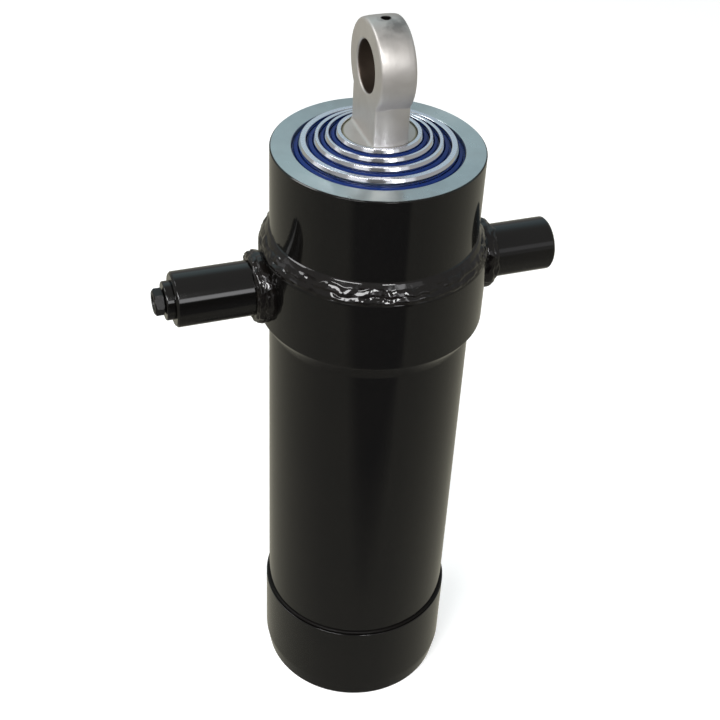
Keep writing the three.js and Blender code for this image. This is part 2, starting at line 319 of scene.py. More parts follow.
def distance_from(tree, centre, directions):
    """How far the point is from a centre in millimetres, in metres, along only some of X, Y and Z."""
    place = add_node(tree, "TexCoord").outputs["Object"]
    middle = [value * MM for value in centre]
    offset = vector_maths(tree, "SUBTRACT", place, middle).outputs["Vector"]
    flat = vector_maths(tree, "MULTIPLY", offset, directions).outputs["Vector"]
    return vector_maths(tree, "LENGTH", flat).outputs["Value"]


def distance_from_axis(tree):
    """How far the point is from the cylinder's axis, in metres."""
    return distance_from(tree, (0, 0, 0), (1, 1, 0))


def facing_up(tree):
    """1 on faces that look up the cylinder's axis, 0 on its walls."""
    normal = add_node(tree, "TexCoord").outputs["Normal"]
    upward = add_node(tree, "SeparateXYZ", Vector=normal).outputs["Z"]
    return between(tree, upward, 0.0, 1.0, 0.75, 0.95)


def tool_marks(tree, pitch):
    """Waves from 0 to 1 round the axis, one for each pitch in millimetres, as a lathe tool leaves."""
    turns = calculate(tree, "MULTIPLY", distance_from_axis(tree), 2 * math.pi / (pitch * MM))
    wave = calculate(tree, "SINE", turns)
    return between(tree, wave, 0.0, 1.0, -1.0, 1.0)


# ---- materials ----

def set_colour(tree, shader, factor, first, second):
    """The base colour goes from the first to the second as the factor goes from 0 to 1."""
    tree.links.new(blend(tree, factor, first, second), shader.inputs["Base Color"])


def set_roughness(tree, shader, factor, low, high, start=0.3, stop=0.7):
    """The roughness goes from low to high as the factor goes from start to stop."""
    tree.links.new(between(tree, factor, low, high, start, stop), shader.inputs["Roughness"])


def paint_material():
    """Sprayed black gloss: faint orange peel over slow waves, a little warm where it is thin."""
    material, tree, shader = new_material("gloss_black_paint")
    thin = mottle(tree, 18, 3)
    set_colour(tree, shader, thin, (0.0018, 0.0018, 0.0019), (0.0036, 0.0032, 0.0027))
    set_roughness(tree, shader, mottle(tree, 40, 4), 0.06, 0.10)
    bumped(tree, shader, (mottle(tree, 24, 2), 0.06), (mottle(tree, 450, 2), 0.003))
    return material


def weld_material(name, specular, smoothest, roughest):
    """The same paint run over a weld, with spatter and small pits under it."""
    material, tree, shader = new_material(name, Specular_IOR_Level=specular)
    thin = mottle(tree, 90, 4)
    set_colour(tree, shader, thin, (0.0018, 0.0018, 0.0020), (0.0050, 0.0038, 0.0030))
    set_roughness(tree, shader, mottle(tree, 160, 4), smoothest, roughest)
    bumped(tree, shader, (mottle(tree, 150, 2), 0.16), (mottle(tree, 700, 2), 0.002))
    return material


def chrome_material():
    """Ground and polished chrome: fine rings on the walls, coarser turned rings on the end faces."""
    material, tree, shader = new_material("hard_chrome", metallic=1.0)
    top = facing_up(tree)
    rings = mottle(tree, 3, 3, stretch=(8, 8, 900))
    set_colour(tree, shader, top, (0.78, 0.80, 0.84), (0.76, 0.79, 0.88))
    polish = between(tree, rings, 0.07, 0.15)
    ground = between(tree, mottle(tree, 900, 2), 0.24, 0.34)
    mixed = add_node(tree, "Mix", {"data_type": "FLOAT"}, i0=top, i2=polish, i3=ground)
    tree.links.new(mixed.outputs[0], shader.inputs["Roughness"])
    marks = calculate(tree, "MULTIPLY", tool_marks(tree, 0.45), top)
    bumped(tree, shader, (rings, 0.004), (marks, 0.012), (mottle(tree, 60, 2), 0.02))
    return material


def machined_material():
    """A faced steel end: concentric tool marks that fan the light out across them."""
    anisotropy = {"Anisotropic": 0.9, "Anisotropic_Rotation": 0.25}
    material, tree, shader = new_material("plain_steel", metallic=1.0, **anisotropy)
    tangent = add_node(tree, "Tangent", {"direction_type": "RADIAL", "axis": "Z"})
    tree.links.new(tangent.outputs["Tangent"], shader.inputs["Tangent"])
    stain = mottle(tree, 45, 5)
    set_colour(tree, shader, stain, (0.50, 0.57, 0.59), (0.60, 0.66, 0.67))
    set_roughness(tree, shader, mottle(tree, 130, 4), 0.26, 0.38)
    fine = tool_marks(tree, 0.55)
    coarse = tool_marks(tree, 2.3)
    bumped(tree, shader, (fine, 0.010), (coarse, 0.012), (mottle(tree, 700, 3), 0.006))
    return material


def cast_steel_material():
    """Blasted cast steel: soft lumps and grain, stained at the seat, and painted shade: patchy with some
    grime on the top's upward faces, oily brown in the bore and near black in the grease hole.
    """
    material, tree, shader = new_material("satin_cast_steel", metallic=0.8)
    eye_centre = (0, 0, EYE_TOP - EYE_RADIUS)
    from_bore = distance_from(tree, eye_centre, (0, 1, 1))
    bore = between(tree, from_bore, 1.0, 0.0, (EYE_BORE + 0.1) * MM, (EYE_BORE + 0.6) * MM)
    from_axis = distance_from_axis(tree)
    up_from_base = distance_from(tree, (0, 0, 0), (0, 0, 1))
    in_top = between(tree, up_from_base, 0.0, 1.0, (EYE_TOP - 12) * MM, (EYE_TOP - 10) * MM)
    hole_edge = GREASE_HOLE_RADIUS + 0.1
    hole = between(tree, from_axis, 1.0, 0.0, hole_edge * MM, (hole_edge + 0.8) * MM)
    hole = calculate(tree, "MULTIPLY", hole, in_top)
    at_seat = between(tree, up_from_base, 1.0, 0.0, (SEAT_Z + 0.2) * MM, (SEAT_Z + 1.0) * MM)
    seat = between(tree, from_axis, 0.0, 0.8, (SHANK_RADIUS - 1.6) * MM, (SHANK_RADIUS - 0.7) * MM)
    stain = mottle(tree, 38, 6)
    colour = blend(tree, stain, (0.42, 0.395, 0.37), (0.63, 0.61, 0.585))
    # Painted shade, with some grime: the upward faces of the eye's top are darkened in patches.
    patches = between(tree, mottle(tree, 55, 4), 0.0, 0.8, 0.42, 0.58)
    top_shade_and_grime = calculate(tree, "MULTIPLY", facing_up(tree), patches)
    colour = blend(tree, calculate(tree, "MULTIPLY", top_shade_and_grime, in_top), colour, (0.16, 0.155, 0.15))
    colour = blend(tree, calculate(tree, "MULTIPLY", seat, at_seat), colour, (0.20, 0.185, 0.09))
    # Painted shade with an oily brown: the bore's wall is made much darker than the rest of the casting.
    colour = blend(tree, bore, colour, (0.075, 0.055, 0.042))
    # Painted shade: the grease hole's wall is made near black.
    colour = blend(tree, hole, colour, (0.010, 0.009, 0.008))
    tree.links.new(colour, shader.inputs["Base Color"])
    set_roughness(tree, shader, mottle(tree, 180, 4), 0.38, 0.52)
    soft = mottle(tree, 70, 3)
    grain = mottle(tree, 600, 3)
    bumped(tree, shader, (soft, 0.16), (grain, 0.03), (mottle(tree, 2200, 2), 0.012))
    return material


def blue_seal_material():
    """Cast blue polyurethane with a soft sheen and faint mould marks."""
    material, tree, shader = new_material("blue_polyurethane", Specular_IOR_Level=0.22)
    tone = mottle(tree, 120, 3)
    set_colour(tree, shader, tone, (0.0022, 0.012, 0.082), (0.0048, 0.024, 0.135))
    set_roughness(tree, shader, mottle(tree, 300, 3), 0.24, 0.40)
    bumped(tree, shader, (mottle(tree, 900, 2), 0.010))
    return material


def rubber_material():
    """Moulded black rubber, dull and finely grained."""
    material, tree, shader = new_material("seal_rubber")
    set_colour(tree, shader, mottle(tree, 200, 4), (0.010, 0.010, 0.011), (0.022, 0.021, 0.020))
    set_roughness(tree, shader, mottle(tree, 400, 3), 0.45, 0.65)
    bumped(tree, shader, (mottle(tree, 1200, 2), 0.02))
    return material


def resin_material():
    """Woven cloth set in brown resin, cut into guide bands."""
    material, tree, shader = new_material("guide_resin")
    weave = add_node(tree, "TexWave", {"bands_direction": "Z"}, Vector=own_point(tree), Scale=400.0)
    weave.inputs["Distortion"].default_value = 2.0
    cloth = weave.outputs["Fac"]
    set_colour(tree, shader, cloth, (0.10, 0.055, 0.024), (0.19, 0.115, 0.055))
    set_roughness(tree, shader, cloth, 0.42, 0.60, 0.0, 1.0)
    bumped(tree, shader, (cloth, 0.03))
    return material


def bronze_material():
    """Turned bronze, blotched brown, with rings from the tool on its walls."""
    material, tree, shader = new_material("guide_bronze", metallic=1.0)
    set_colour(tree, shader, mottle(tree, 60, 4), (0.42, 0.24, 0.09), (0.60, 0.38, 0.16))
    set_roughness(tree, shader, mottle(tree, 200, 3), 0.25, 0.42)
    bumped(tree, shader, (mottle(tree, 3, 3, stretch=(8, 8, 700)), 0.01))
    return material


def plug_material():
    """Moulded black plastic with a fine spark-eroded texture."""
    material, tree, shader = new_material("plug_plastic", Specular_IOR_Level=0.3)
    set_colour(tree, shader, mottle(tree, 150, 3), (0.0030, 0.0030, 0.0033), (0.0065, 0.0060, 0.0055))
    set_roughness(tree, shader, mottle(tree, 900, 3), 0.26, 0.42)
    bumped(tree, shader, (mottle(tree, 1800, 2), 0.02))
    return material


MATERIALS = {
    "gloss_black_paint": paint_material(),
    "painted_weld": weld_material("painted_weld", 0.5, 0.05, 0.10),
    "hard_chrome": chrome_material(),
    "plain_steel": machined_material(),
    "satin_cast_steel": cast_steel_material(),
    "blue_polyurethane": blue_seal_material(),
    "seal_rubber": rubber_material(),
    "guide_resin": resin_material(),
    "guide_bronze": bronze_material(),
    "plug_plastic": plug_material(),
}


# The bead at the base, which holds dust, is shown in a duller weld material than the other welds.
DUSTY_WELD = weld_material("dusty_painted_weld", 0.12, 0.30, 0.45)


def stand_in(piece, slot, node, material=None):
    """The piece is shown instead of the CAD node, on the node's body and in the slot's material.

    Another material of the same kind may take the place of the slot's own.
    """
    piece.data.materials.append(material or MATERIALS[slot])
    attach(piece, body_of(frame["nodes"][node])[0])
    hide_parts(node)


# ---- barrel ----

BASE_CHAMFER_WIDTH = 2.8
BASE_CHAMFER_HEIGHT = 16


def add_base_cup():
    """The cup that closes the barrel: a band, a chamfer below it and a thick floor."""
    low, high = height("base_cup")
    floor = height("stage_1_tube")[0] - GAP
    side = radius("base_cup")
    outline = rounded([
        (0, low, 0),
        (side - BASE_CHAMFER_WIDTH, low, 1.0),
        (side, low + BASE_CHAMFER_HEIGHT, 12.0),
        (side, high + GAP, 0.5),
        (BARREL_BORE, high + GAP, 0),
        (BARREL_BORE, floor, 3.0),
        (0, floor, 0),
    ])
    stand_in(turned("base_cup_smooth", outline), "gloss_black_paint", "base_cup")


def add_barrel_tube():
    """The plain tube between the base cup and the head."""
    low, high = height("barrel_tube")
    outline = rounded([
        (BARREL_BORE, low - GAP, 0),
        (BARREL_RADIUS, low - GAP, 0.4),
        (BARREL_RADIUS, high, 0.4),
        (BARREL_BORE, high, 0),
    ])
    stand_in(turned("barrel_tube_smooth", outline), "gloss_black_paint", "barrel_tube")


LAND_CLEARANCE = 0.7  # between a slider and the lands that part its seals


def gland(prefix, mouth, face, bottom):
    """The inside outline of a gland, cut round the seal and the guide band that it holds."""
    wiper_low = height(prefix + "_wiper")[0] - GAP
    seal_low, seal_high = height(prefix + "_rod_seal")
    guide_low, guide_high = height(prefix + "_guide_band")
    land = radius(SLIDERS[prefix]) + LAND_CLEARANCE
    guide_groove = radius(prefix + "_guide_band") + GAP
    return [
        (mouth, face, 0.7),
        (mouth, wiper_low, 0),
        (land, wiper_low, 0),
        (land, seal_high + GAP, 0),
        (mouth, seal_high + GAP, 0),
        (mouth, seal_low - GAP, 0),
        (land, seal_low - GAP, 0),
        (land, guide_high + GAP, 0),
        (guide_groove, guide_high + GAP, 0),
        (guide_groove, guide_low - GAP, 0),
        (land, guide_low - GAP, 0),
        (land, bottom, 0),
    ]


def add_head():
    """The painted head, and in its end a bare faced ring round the wiper."""
    low, face = height("head_housing")
    side = radius("head_housing")
    seam = height("barrel_tube")[1] + GAP
    mouth = radius("head_wiper") + GAP
    face_edge = side - 0.9
    ring_low = height("head_wiper")[0] - GAP
    spigot = BARREL_BORE - GAP
    housing = rounded([
        (spigot, low, 0),
        (spigot, seam, 0),
        (side, seam, 0),
        (side, face - 0.8, 0.3),
        (face_edge, face, 0.2),
        (face_edge, ring_low, 0),
        *gland("head", mouth, face, low)[2:],
    ])
    stand_in(turned("head_housing_smooth", housing), "gloss_black_paint", "head_housing")
    ring = rounded([
        (mouth, ring_low, 0),
        (face_edge, ring_low, 0),
        (face_edge, face, 0),
        (mouth, face, 0.7),
    ])
    stand_in(turned("head_end_face", ring), "plain_steel", "head_housing")


WIPER_CLEARANCE = 0.25  # from the wiper's lip to its tube
WIPER_GROOVE_DEPTH = 2.6


def add_wiper(prefix, slider):
    """A wiper: a band that slopes up from a groove at its outside to a lip against the tube."""
    low, top = height(prefix + "_wiper")
    outer = radius(prefix + "_wiper")
    inner = radius(slider) + WIPER_CLEARANCE
    groove = top - WIPER_GROOVE_DEPTH
    width = outer - inner
    outline = rounded([
        (inner, low, 0),
        (outer, low, 0.3),
        (outer, groove, 0.25),
        (outer - 0.28 * width, groove, 0),
        (outer - 0.38 * width, top - 0.9, 0.4),
        (inner + 0.28 * width, top - 0.15, 0.4),
        (inner + 0.12 * width, top, 0.15),
        (inner, top - 0.9, 0),
    ])
    stand_in(turned(prefix + "_wiper_smooth", outline), "blue_polyurethane", prefix + "_wiper")


# ---- welds ----

def lumps(place, size, seed):
    """Smooth noise from about -1 to 1 at a place, with lumps about that many millimetres apart."""
    return noise.noise(Vector(place) / size + Vector((seed, seed, seed)))


WELD_DROOP = 0.4  # how far a pass leans to the outside, as a share of its height


def weld_height(share, around, passes, seed):
    """How far a weld stands out at a share of its way across, in millimetres.

    around is the point's place in the plane that the weld runs in, and a pass is (middle, half-width,
    height, unevenness), the first two as shares of the weld's width.
    """
    best = 0
    for number, (middle, half_width, high, uneven) in enumerate(passes):
        run = (*around, 40 * number + seed)
        wander = middle + uneven * (0.13 * lumps(run, 14, 0.5) + 0.06 * lumps(run, 6, 3.5))
        offset = (share - wander) / (half_width * (1 + 0.3 * uneven * lumps(run, 11, 6.5)))
        if abs(offset) >= 1:
            continue
        crest = high * (1 + uneven * (0.9 * lumps(run, 11, 9.5) + 0.4 * lumps(run, 5, 12.5)))
        lean = WELD_DROOP + uneven * (0.8 * lumps(run, 9, 18.5) + 0.5 * lumps(run, 4, 24.5))
        best = max(best, crest * (1 - abs(offset) ** 3) * (1 + lean * offset))
    return best


TOP_WELD_STEPS = 40
TOP_WELD_OVERLAP = 2.2  # of the weld over the ring's rounded edge
TOP_WELD_PASSES = [
    (0.18, 0.28, 0.5, 0.3),
    (0.48, 0.24, 1.1, 1.0),
    (0.80, 0.26, 1.1, 1.0),
]


def add_top_weld():
    """A smooth cap pass and two rough ones in the corner between the trunnion ring and the head."""
    low, toe_z = height("trunnion_top_weld")
    toe = Vector((BARREL_RADIUS - 0.1, toe_z))
    rim = Vector((RING_RADIUS - 0.1, low - TOP_WELD_OVERLAP))
    across = rim - toe
    outward = Vector((-across.y, across.x)).normalized()
    shares = [1 - step / TOP_WELD_STEPS for step in range(TOP_WELD_STEPS + 1)]
    outline = [(toe.x - 1, rim.y - 1), (rim.x - 0.4, rim.y - 1)]
    outline += [tuple(toe + across * share) for share in shares]
    outline.append((toe.x - 1, toe_z))

    def shape(index, radial, along, angle):
        if not 2 <= index < 2 + len(shares):
            return radial, along
        share = shares[index - 2]
        around = (RING_RADIUS * math.cos(angle), RING_RADIUS * math.sin(angle))
        rise = weld_height(share, around, TOP_WELD_PASSES, 11.0)
        rise *= min(1, 12 * (1 - share), 12 * share + 0.1)
        ragged = 0.05 + 0.09 * lumps((*around, 0), 9, 15.5) + 0.05 * lumps((*around, 0), 4, 21.5)
        point = toe + across * share * (1 - max(0, ragged) * share) + outward * rise
        return min(point.x, RING_RADIUS - 0.05), min(point.y, toe_z)

    weld = turned("trunnion_top_weld_bead", outline, about_z, WELD_SEGMENTS, shape, WELD_SHARP_ANGLE)
    stand_in(weld, "painted_weld", "trunnion_top_weld")


PIN_WELD_STEPS = 30
PIN_WELD_SQUARENESS = 0.62
PIN_WELD_PASSES = [
    (0.16, 0.24, 1.3, 1.3),
    (0.50, 0.25, 1.4, 1.3),
    (0.82, 0.24, 1.4, 1.3),
]


def add_pin_weld(side, place_about, seed):
    """The lumpy weld round a pin's root, lying on the trunnion ring."""
    node = "pin_weld_" + side
    low, high = span(node)
    toe_x = max(abs(low.x), abs(high.x))
    foot = (high.z - low.z) / 2
    shares = [step / PIN_WELD_STEPS for step in range(PIN_WELD_STEPS + 1)]
    inner = PIN_RADIUS - 0.5
    outline = [(inner, -1), *[(foot, share) for share in shares], (inner, 2)]

    def shape(index, across, along, angle):
        beside = foot * math.cos(angle)
        ring_x = math.sqrt(RING_RADIUS ** 2 - beside ** 2)
        if along < 0:
            return across, ring_x - 2
        if along > 1:
            return across, toe_x - 1
        turn = along * math.pi / 2
        start = ring_x - 0.8
        outward = math.cos(turn) ** PIN_WELD_SQUARENESS
        forward = math.sin(turn) ** PIN_WELD_SQUARENESS
        around = (foot * math.cos(angle), foot * math.sin(angle))
        rise = weld_height(along, around, PIN_WELD_PASSES, seed)
        rise *= min(1, 9 * along + 0.4, 9 * (1 - along) + 0.2)
        radial = PIN_RADIUS + (foot - 1.6 - PIN_RADIUS) * outward + rise * math.cos(turn)
        outwards = start + (toe_x - 1.4 - start) * forward + rise * math.sin(turn)
        return min(radial, foot), min(outwards, toe_x)

    weld = turned(node + "_bead", outline, place_about, PIN_WELD_SEGMENTS, shape, WELD_SHARP_ANGLE)
    stand_in(weld, "painted_weld", node)


BASE_WELD_STEPS = 12
BASE_WELD_RIPPLE = 3.1  # from one ripple to the next


def add_base_weld():
    """The thin, dusty bead in the step between the base cup and the tube."""
    low, high = height("base_weld")
    middle = (low + high) / 2
    half = (high - low) / 2 + 0.15
    toe = BARREL_RADIUS - 0.2
    crown = radius("base_cup") - 0.6
    root = toe - 4
    turns = [math.pi * (step / BASE_WELD_STEPS - 0.5) for step in range(BASE_WELD_STEPS + 1)]
    outline = [(root, middle - half)]
    for turn in turns:
        outline.append((toe + (crown - toe) * math.cos(turn), middle + half * math.sin(turn)))
    outline.append((root, middle + half))

    def shape(index, across, along, angle):
        place = (across * math.cos(angle), across * math.sin(angle), along)
        share = max(0, (across - toe) / (crown - toe))
        run = angle * across / BASE_WELD_RIPPLE + lumps(place, 9, 4.0)
        ripple = 0.5 + 0.5 * math.sin(2 * math.pi * run)
        sink = share * (0.12 * ripple + 0.25 * (0.5 + 0.5 * lumps(place, 7, 2.0)))
        return across - sink, along + 0.25 * share * lumps(place, 11, 6.0)

    weld = turned("base_weld_bead", outline, about_z, WELD_SEGMENTS, shape, WELD_SHARP_ANGLE)
    stand_in(weld, "painted_weld", "base_weld", DUSTY_WELD)


# ---- trunnion ----

RING_BEVEL_HEIGHT = 14


def add_trunnion_ring():
    """The heavy ring round the barrel, with a bevel at its lower edge."""
    low, high = height("trunnion_ring")
    inner = BARREL_RADIUS - 0.1
    bevel = low + RING_BEVEL_HEIGHT
    outline = rounded([
        (inner, low, 0),
        (RING_RADIUS, bevel, 2.2),
        (RING_RADIUS, high, 3.0),
        (inner, high, 0),
    ])
    stand_in(turned("trunnion_ring_smooth", outline), "gloss_black_paint", "trunnion_ring")


def add_pin(side, place_about, corners):
    """A trunnion pin, cut at its root to the barrel's round side."""
    outline = rounded(corners)
    root = min(along for across, along in outline)

    def shape(index, across, along, angle):
        if along > root:
            return across, along
        beside = across * math.cos(angle)
        return across, math.sqrt((BARREL_RADIUS + GAP) ** 2 - beside ** 2)

    node = "trunnion_pin_" + side
    pin = turned(node + "_smooth", outline, place_about, PIN_SEGMENTS, shape)
    stand_in(pin, "gloss_black_paint", node)


def add_pins():
    """The plain pin, and the port pin with its oil way and the seat for its adapter."""
    plain_end = span("trunnion_pin_plain")[1].x
    add_pin("plain", about_pin, [
        (0, BARREL_BORE, 0),
        (PIN_RADIUS, BARREL_BORE, 0),
        (PIN_RADIUS, plain_end - PIN_CHAMFER, 0.8),
        (PIN_RADIUS - PIN_CHAMFER, plain_end, 0.5),
        (0, plain_end, 0),
    ])
    port_end = -span("trunnion_pin_port")[0].x
    seat = ADAPTER_SEAT_RADIUS + GAP
    seat_bottom = -span("port_adapter")[1].x - GAP
    add_pin("port", about_port_pin, [
        (OIL_WAY_RADIUS, BARREL_BORE, 0),
        (PIN_RADIUS, BARREL_BORE, 0),
        (PIN_RADIUS, port_end - PIN_CHAMFER, 0.8),
        (PIN_RADIUS - PIN_CHAMFER, port_end, 0.5),
        (seat, port_end, 0.3),
        (seat, seat_bottom, 0),
        (OIL_WAY_RADIUS, seat_bottom, 0),
    ])


def radius_about_pin(node):
    """Half the height of a CAD node that is turned about the pins' axis."""
    low, high = height(node)
    return (high - low) / 2


def add_port_fittings():
    """The adapter in the port pin's end, and the hexagon plug that closes it."""
    end = -span("port_adapter")[0].x
    bottom = -span("port_adapter")[1].x
    flange = radius_about_pin("port_adapter")
    pin_end = -span("trunnion_pin_port")[0].x
    oil_way = OIL_WAY_RADIUS + GAP
    adapter = turned("port_adapter_smooth", rounded([
        (oil_way, bottom, 0),
        (ADAPTER_SEAT_RADIUS, bottom, 0.4),
        (ADAPTER_SEAT_RADIUS, pin_end + SEAM, 0),
        (flange, pin_end + SEAM, 0.2),
        (flange, end, 1.0),
        (oil_way, end, 0.6),
    ]), about_port_pin, PIN_SEGMENTS)
    stand_in(adapter, "gloss_black_paint", "port_adapter")

    plug_end = -span("port_plug")[0].x
    corner = radius_about_pin("port_plug")
    flat = corner * math.cos(math.pi / 6)
    plug = rounded([
        (0, end - PLUG_SHANK_LENGTH, 0),
        (OIL_WAY_RADIUS, end - PLUG_SHANK_LENGTH, 0.4),
        (OIL_WAY_RADIUS, end + SEAM, 0),
        (flat - 0.6, end + SEAM, 0.3),
        (corner, end + 1.0, 0.4),
        (corner, plug_end - 1.4, 0.6),
        (flat - 0.4, plug_end, 0.4),
        (flat - 2.6, plug_end, 0.3),
        (flat - 3.2, plug_end - 1.6, 0.3),
        (0, plug_end - 1.6, 0),
    ])

    def hexagon(index, across, along, angle):
        aside = (angle + math.pi / 6) % (math.pi / 3) - math.pi / 6
        return min(across, flat / math.cos(math.pi / 6 - abs(aside))), along

    cap = turned("port_plug_smooth", plug, about_port_pin, PLUG_SEGMENTS, hexagon)
    stand_in(cap, "plug_plastic", "port_plug")


# ---- sliding tubes ----

def foot(tube, stop_ring, foot_guide, bore):
    """The outside outline of a sliding tube's foot, grooved for its guide and its stop ring."""
    low = height(tube)[0]
    outer = radius(tube)
    groove = outer - 0.4 * (outer - bore)
    groove_low = height(foot_guide)[0] - GAP
    groove_high = height(stop_ring)[1] + GAP
    return [
        (bore, low, 0.6),
        (outer, low, 0.6),
        (outer, groove_low, 0),
        (groove, groove_low, 0),
        (groove, groove_high, 0),
        (outer, groove_high, 0),
    ]


def add_stage(number):
    """A chromed stage, open at both ends, with the next tube's gland in its top."""
    name = "stage_%d" % number
    following = "stage_%d" % (number + 1) if number < 3 else "plunger"
    top = height(name + "_tube")[1]
    outer = radius(name + "_tube")
    bore = radius(following + "_foot_guide") + GAP
    mouth = radius(name + "_wiper") + GAP
    shoulder = height("head_housing")[0]
    outline = rounded([
        *foot(name + "_tube", name + "_stop_ring", name + "_foot_guide", bore),
        (outer, top - NOSE_HEIGHT, 0.4),
        (outer - NOSE_WIDTH, top, 0.3),
        *gland(name, mouth, top, shoulder),
        (bore, shoulder, 0),
    ])
    stand_in(turned(name + "_tube_smooth", outline), "hard_chrome", name + "_tube")


def add_plunger():
    """The chromed innermost tube, which carries the eye."""
    top = height("plunger_tube")[1]
    outer = radius("plunger_tube")
    bore = radius("plunger_foot_plug") + GAP
    outline = rounded([
        *foot("plunger_tube", "plunger_stop_ring", "plunger_foot_guide", bore),
        (outer, top - NOSE_HEIGHT, 0.4),
        (outer - NOSE_WIDTH, top, 0.3),
        (bore, top, 0.8),
    ])
    stand_in(turned("plunger_tube_smooth", outline), "hard_chrome", "plunger_tube")


# ---- rod eye ----

def combined(target, other, operation):
    """Joins or cuts two closed objects, and keeps the result as the target's own mesh."""
    modifier = target.modifiers.new("combine", "BOOLEAN")
    modifier.operation = operation
    modifier.solver = "EXACT"
    modifier.object = other
    bake_modifiers(target)
    bpy.data.objects.remove(other)


def bake_modifiers(target):
    """Makes what the object's modifiers show its own mesh."""
    graph = bpy.context.evaluated_depsgraph_get()
    mesh = bpy.data.meshes.new_from_object(target.evaluated_get(graph))
    target.modifiers.clear()
    target.data = mesh


def about_eye(across, along, angle):
    """A place on the axis of the eye's bore, which points to +X."""
    return (along, across * math.cos(angle), EYE_TOP - EYE_RADIUS + across * math.sin(angle))


def neck_section(half_width):
    """The outline in X and Y of a round bar with two flats, its four edges worn round."""
    inner_radius = SHANK_RADIUS - NECK_ROUNDING
    across = half_width - NECK_ROUNDING
    along = math.sqrt(inner_radius ** 2 - across ** 2)
    edge = math.atan2(along, across)
    half = []
    for step in range(ROUND_STEPS + 1):
        turn = edge * step / ROUND_STEPS
        half.append((across + NECK_ROUNDING * math.cos(turn), along + NECK_ROUNDING * math.sin(turn)))
    for step in range(1, NECK_STEPS):
        turn = edge + (math.pi - 2 * edge) * step / NECK_STEPS
        half.append((SHANK_RADIUS * math.cos(turn), SHANK_RADIUS * math.sin(turn)))
    half += [(-x, y) for x, y in reversed(half[:ROUND_STEPS + 1])]
    return half + [(-x, -y) for x, y in half]


def neck():
    """The bar between the seat and the eye, with flats that flare out at the seat."""
    levels = [(SEAT_Z - 1, FLAT_HALF_WIDTH + EYE_FILLET)]
    for step in range(ROUND_STEPS + 1):
        turn = math.pi / 2 * step / ROUND_STEPS
        flare = EYE_FILLET * (1 - math.sin(turn))
        levels.append((SEAT_Z + EYE_FILLET * (1 - math.cos(turn)), FLAT_HALF_WIDTH + flare))
    levels.append((EYE_TOP - EYE_RADIUS, FLAT_HALF_WIDTH))
    vertices = []
    for along, half_width in levels:
        vertices += [(x, y, along) for x, y in neck_section(half_width)]
    count = len(vertices) // len(levels)
    faces = [list(range(count - 1, -1, -1)), list(range(len(vertices) - count, len(vertices)))]
    for start in range(0, len(vertices) - count, count):
        for step in range(count):
            other = (step + 1) % count
            faces.append([start + step, start + other, start + count + other, start + count + step])
    return mesh_object("neck", vertices, faces, SHARP_ANGLE)


SHANK_OVERLAP = 6  # how far the casting goes down into the plunger before the plain shank starts
BORE_OVERCUT = 2  # that the cutting tool reaches past the eye's two faces


def add_rod_eye():
    """The eye and its neck as one casting, its edges worn soft, and a plain shank below."""
    centre_z = EYE_TOP - EYE_RADIUS
    neck_low = SEAT_Z - SHANK_OVERLAP
    casting = turned("rod_eye_casting", rounded([
        (0, neck_low, 0),
        (SHANK_RADIUS, neck_low, 0),
        (SHANK_RADIUS, SEAT_Z, 0.4),
        (0, SEAT_Z, 0),
    ]), segments=EYE_SEGMENTS)
    combined(casting, neck(), "UNION")
    outline = [(0, -EYE_HALF_WIDTH), *[(across, -along) for across, along in EYE_CROWN]]
    outline += [*reversed(EYE_CROWN), (0, EYE_HALF_WIDTH)]
    combined(casting, turned("eye_ring", outline, about_eye, EYE_SEGMENTS), "UNION")
    reach = EYE_HALF_WIDTH + BORE_OVERCUT
    mouth = EYE_BORE + EYE_BORE_CHAMFER + BORE_OVERCUT
    chamfer_at = EYE_HALF_WIDTH - EYE_BORE_CHAMFER
    bore = [
        (0, -reach),
        (mouth, -reach),
        (EYE_BORE, -chamfer_at),
        (EYE_BORE, chamfer_at),
        (mouth, reach),
        (0, reach),
    ]
    combined(casting, turned("eye_bore", bore, about_eye, EYE_SEGMENTS), "DIFFERENCE")
    hole_top = EYE_TOP + BORE_OVERCUT
    hole = [
        (0, centre_z),
        (GREASE_HOLE_RADIUS, centre_z),
        (GREASE_HOLE_RADIUS, hole_top),
        (0, hole_top),
    ]
    combined(casting, turned("grease_hole", hole, segments=48), "DIFFERENCE")

    remesh = casting.modifiers.new("cast", "REMESH")
    remesh.mode = "VOXEL"
    remesh.voxel_size = EYE_VOXEL * MM
    remesh.use_smooth_shade = True
    soften = casting.modifiers.new("soften", "SMOOTH")
    soften.factor = 0.5
    soften.iterations = EYE_SMOOTHING_PASSES
    bake_modifiers(casting)
    casting.data.materials.clear()
    stand_in(casting, "satin_cast_steel", "rod_eye")

    shank = rounded([
        (0, height("rod_eye")[0], 0),
        (SHANK_RADIUS, height("rod_eye")[0], 1.0),
        (SHANK_RADIUS, neck_low, 0),
        (0, neck_low, 0),
    ])
    stand_in(turned("rod_eye_shank", shank), "satin_cast_steel", "rod_eye")


# ---- hidden CAD pieces that stay as they are ----

def finish_hidden_pieces():
    """Gives the seals, guides, stop rings and foot plug inside the cylinder their materials."""
    kinds = {
        "_rod_seal": "seal_rubber",
        "_guide_band": "guide_resin",
        "_foot_guide": "guide_bronze",
        "_stop_ring": "satin_cast_steel",
        "_foot_plug": "satin_cast_steel",
    }
    for name, node in frame["nodes"].items():
        for ending, slot in kinds.items():
            if name.endswith(ending):
                node.data.materials.clear()
                node.data.materials.append(MATERIALS[slot])


# ---- stage, lights and camera ----

FLOOR_REACH = 9.0  # this and the next three are in metres
FLOOR_DROP = 0.0002
FLOOR_FADE_START = 0.9  # from here to the fade's end the floor turns into the backdrop
FLOOR_FADE_END = 4.0
FLOOR_LIGHT = 0.42
BACKDROP_LIGHT = 0.93
BACKDROP_RADIUS = 8000
BACKDROP_ROWS = 24


